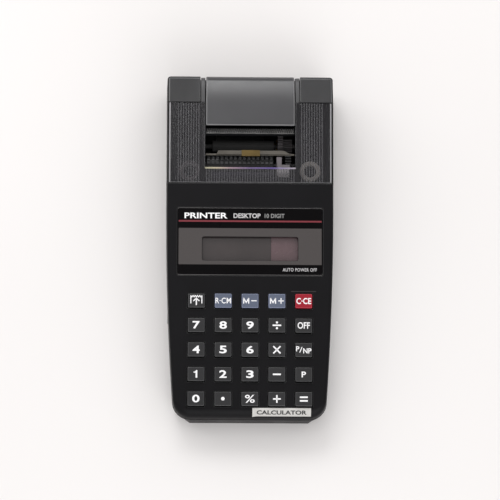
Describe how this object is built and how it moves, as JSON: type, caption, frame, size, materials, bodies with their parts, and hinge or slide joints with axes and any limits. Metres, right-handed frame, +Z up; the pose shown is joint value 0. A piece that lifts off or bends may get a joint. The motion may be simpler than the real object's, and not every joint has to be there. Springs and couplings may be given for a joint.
{
  "type": "desk calculator",
  "caption": "Low black desk calculator with a square-key keypad, a framed LCD panel and a built-in paper-tape printer under a smoked lift-off cover with a hinged paper flap.",
  "frame": {"origin": "centre of the footprint on the surface the feet stand on", "axes": "+X to the user's right, +Y from the user's edge to the printer end, +Z up"},
  "size_m": [0.0848, 0.175, 0.034],
  "materials": {
    "case_plastic": "fine satin grain",
    "panel_black": "smooth, lightly glossy",
    "key_grey": "fine satin",
    "key_blue": "fine satin",
    "key_red": "fine satin",
    "smoke_clear": "clear smoke tint, ribbed underneath",
    "smoke_frosted": "frosted smoke tint",
    "lcd": "satin polariser",
    "rubber": "matt",
    "silicone": "matt",
    "board": "solder resist",
    "pack_wrap": "shrink wrap",
    "steel": "brushed",
    "brass": "drawn",
    "jack_plastic": "plain",
    "nylon": "moulded",
    "type_plastic": "moulded type",
    "ink_felt": "inked foam",
    "grommet": "soft"
  },
  "bodies": {
    "case": {"upper_case": "case_plastic", "lower_case": "case_plastic", "display_panel": "panel_black", "lcd_glass": "lcd", "lcd_connector": "rubber", "key_mat": "silicone", "main_board": "board", "battery_pack": "pack_wrap", "battery_contact_spring": "steel", "battery_contact_plate": "steel", "dc_jack": "jack_plastic", "case_screw_front_left": "steel", "case_screw_front_right": "steel", "case_screw_rear_left": "steel", "case_screw_rear_right": "steel", "foot_front_left": "rubber", "foot_front_right": "rubber", "foot_rear_left": "rubber", "foot_rear_right": "rubber", "printer_frame": "case_plastic", "printer_motor": "steel", "ink_lever": "nylon", "paper_guide": "steel", "guide_clip": "brass", "grommet_left": "grommet", "grommet_right": "grommet", "tear_bar": "steel"},
    "cover": {"printer_cover": "smoke_clear"},
    "flap": {"paper_flap": "smoke_frosted"},
    "door": {"battery_door": "case_plastic"},
    "drum": {"type_drum": "type_plastic"},
    "feed": {"feed_gear": "nylon", "feed_roller": "rubber"},
    "pinion": {"motor_pinion": "brass"},
    "ink": {"ink_roller": "ink_felt"},
    "button_0": {"key_0": "key_grey"},
    "button_point": {"key_point": "key_grey"},
    "button_percent": {"key_percent": "key_grey"},
    "button_plus": {"key_plus": "key_grey"},
    "button_equals": {"key_equals": "key_grey"},
    "button_1": {"key_1": "key_grey"},
    "button_2": {"key_2": "key_grey"},
    "button_3": {"key_3": "key_grey"},
    "button_minus": {"key_minus": "key_grey"},
    "button_print": {"key_print": "key_grey"},
    "button_4": {"key_4": "key_grey"},
    "button_5": {"key_5": "key_grey"},
    "button_6": {"key_6": "key_grey"},
    "button_multiply": {"key_multiply": "key_grey"},
    "button_print_mode": {"key_print_mode": "key_grey"},
    "button_7": {"key_7": "key_grey"},
    "button_8": {"key_8": "key_grey"},
    "button_9": {"key_9": "key_grey"},
    "button_divide": {"key_divide": "key_grey"},
    "button_off": {"key_off": "key_grey"},
    "button_paper_feed": {"key_paper_feed": "key_grey"},
    "button_memory_recall": {"key_memory_recall": "key_blue"},
    "button_memory_minus": {"key_memory_minus": "key_blue"},
    "button_memory_plus": {"key_memory_plus": "key_blue"},
    "button_clear": {"key_clear": "key_red"}
  },
  "joints": [
    {"name": "cover_lift", "type": "slide", "parent": "case", "child": "cover", "axis": [0, 0, 1], "range_m": [0, 0.04]},
    {"name": "flap_hinge", "type": "hinge", "parent": "cover", "child": "flap", "pos_m": [0, 0.083, 0.02716], "axis": [-1, 0, 0], "range_deg": [0, 100]},
    {"name": "door_hinge", "type": "hinge", "parent": "case", "child": "door", "pos_m": [0, 0.0283, 0.00185], "axis": [1, 0, 0], "range_deg": [0, 80]},
    {"name": "drum_spin", "type": "hinge", "parent": "case", "child": "drum", "pos_m": [0, 0.0435, 0.0165], "axis": [1, 0, 0], "continuous": true},
    {"name": "feed_spin", "type": "hinge", "parent": "case", "child": "feed", "pos_m": [0, 0.05332, 0.01841], "axis": [1, 0, 0], "continuous": true},
    {"name": "pinion_spin", "type": "hinge", "parent": "case", "child": "pinion", "pos_m": [0, 0.05654, 0.01001], "axis": [1, 0, 0], "continuous": true},
    {"name": "ink_spin", "type": "hinge", "parent": "case", "child": "ink", "pos_m": [0, 0.03498, 0.02246], "axis": [1, 0, 0], "continuous": true},
    {"name": "press_0", "type": "slide", "parent": "case", "child": "button_0", "axis": [0, 0.0872, -0.9962], "range_m": [0, 0.0012], "stiffness_N_per_m": 400},
    {"name": "press_point", "type": "slide", "parent": "case", "child": "button_point", "axis": [0, 0.0872, -0.9962], "range_m": [0, 0.0012], "stiffness_N_per_m": 400},
    {"name": "press_percent", "type": "slide", "parent": "case", "child": "button_percent", "axis": [0, 0.0872, -0.9962], "range_m": [0, 0.0012], "stiffness_N_per_m": 400},
    {"name": "press_plus", "type": "slide", "parent": "case", "child": "button_plus", "axis": [0, 0.0872, -0.9962], "range_m": [0, 0.0012], "stiffness_N_per_m": 400},
    {"name": "press_equals", "type": "slide", "parent": "case", "child": "button_equals", "axis": [0, 0.0872, -0.9962], "range_m": [0, 0.0012], "stiffness_N_per_m": 400},
    {"name": "press_1", "type": "slide", "parent": "case", "child": "button_1", "axis": [0, 0.0872, -0.9962], "range_m": [0, 0.0012], "stiffness_N_per_m": 400},
    {"name": "press_2", "type": "slide", "parent": "case", "child": "button_2", "axis": [0, 0.0872, -0.9962], "range_m": [0, 0.0012], "stiffness_N_per_m": 400},
    {"name": "press_3", "type": "slide", "parent": "case", "child": "button_3", "axis": [0, 0.0872, -0.9962], "range_m": [0, 0.0012], "stiffness_N_per_m": 400},
    {"name": "press_minus", "type": "slide", "parent": "case", "child": "button_minus", "axis": [0, 0.0872, -0.9962], "range_m": [0, 0.0012], "stiffness_N_per_m": 400},
    {"name": "press_print", "type": "slide", "parent": "case", "child": "button_print", "axis": [0, 0.0872, -0.9962], "range_m": [0, 0.0012], "stiffness_N_per_m": 400},
    {"name": "press_4", "type": "slide", "parent": "case", "child": "button_4", "axis": [0, 0.0872, -0.9962], "range_m": [0, 0.0012], "stiffness_N_per_m": 400},
    {"name": "press_5", "type": "slide", "parent": "case", "child": "button_5", "axis": [0, 0.0872, -0.9962], "range_m": [0, 0.0012], "stiffness_N_per_m": 400},
    {"name": "press_6", "type": "slide", "parent": "case", "child": "button_6", "axis": [0, 0.0872, -0.9962], "range_m": [0, 0.0012], "stiffness_N_per_m": 400},
    {"name": "press_multiply", "type": "slide", "parent": "case", "child": "button_multiply", "axis": [0, 0.0872, -0.9962], "range_m": [0, 0.0012], "stiffness_N_per_m": 400},
    {"name": "press_print_mode", "type": "slide", "parent": "case", "child": "button_print_mode", "axis": [0, 0.0872, -0.9962], "range_m": [0, 0.0012], "stiffness_N_per_m": 400},
    {"name": "press_7", "type": "slide", "parent": "case", "child": "button_7", "axis": [0, 0.0872, -0.9962], "range_m": [0, 0.0012], "stiffness_N_per_m": 400},
    {"name": "press_8", "type": "slide", "parent": "case", "child": "button_8", "axis": [0, 0.0872, -0.9962], "range_m": [0, 0.0012], "stiffness_N_per_m": 400},
    {"name": "press_9", "type": "slide", "parent": "case", "child": "button_9", "axis": [0, 0.0872, -0.9962], "range_m": [0, 0.0012], "stiffness_N_per_m": 400},
    {"name": "press_divide", "type": "slide", "parent": "case", "child": "button_divide", "axis": [0, 0.0872, -0.9962], "range_m": [0, 0.0012], "stiffness_N_per_m": 400},
    {"name": "press_off", "type": "slide", "parent": "case", "child": "button_off", "axis": [0, 0.0872, -0.9962], "range_m": [0, 0.0012], "stiffness_N_per_m": 400},
    {"name": "press_paper_feed", "type": "slide", "parent": "case", "child": "button_paper_feed", "axis": [0, 0.0872, -0.9962], "range_m": [0, 0.0012], "stiffness_N_per_m": 400},
    {"name": "press_memory_recall", "type": "slide", "parent": "case", "child": "button_memory_recall", "axis": [0, 0.0872, -0.9962], "range_m": [0, 0.0012], "stiffness_N_per_m": 400},
    {"name": "press_memory_minus", "type": "slide", "parent": "case", "child": "button_memory_minus", "axis": [0, 0.0872, -0.9962], "range_m": [0, 0.0012], "stiffness_N_per_m": 400},
    {"name": "press_memory_plus", "type": "slide", "parent": "case", "child": "button_memory_plus", "axis": [0, 0.0872, -0.9962], "range_m": [0, 0.0012], "stiffness_N_per_m": 400},
    {"name": "press_clear", "type": "slide", "parent": "case", "child": "button_clear", "axis": [0, 0.0872, -0.9962], "range_m": [0, 0.0012], "stiffness_N_per_m": 400}
  ],
  "couplings": [
    {"joint": "feed_spin", "follows": "drum_spin", "ratio": -1.8571},
    {"joint": "pinion_spin", "follows": "drum_spin", "ratio": 4.8286},
    {"joint": "ink_spin", "follows": "drum_spin", "ratio": -1.8056}
  ]
}
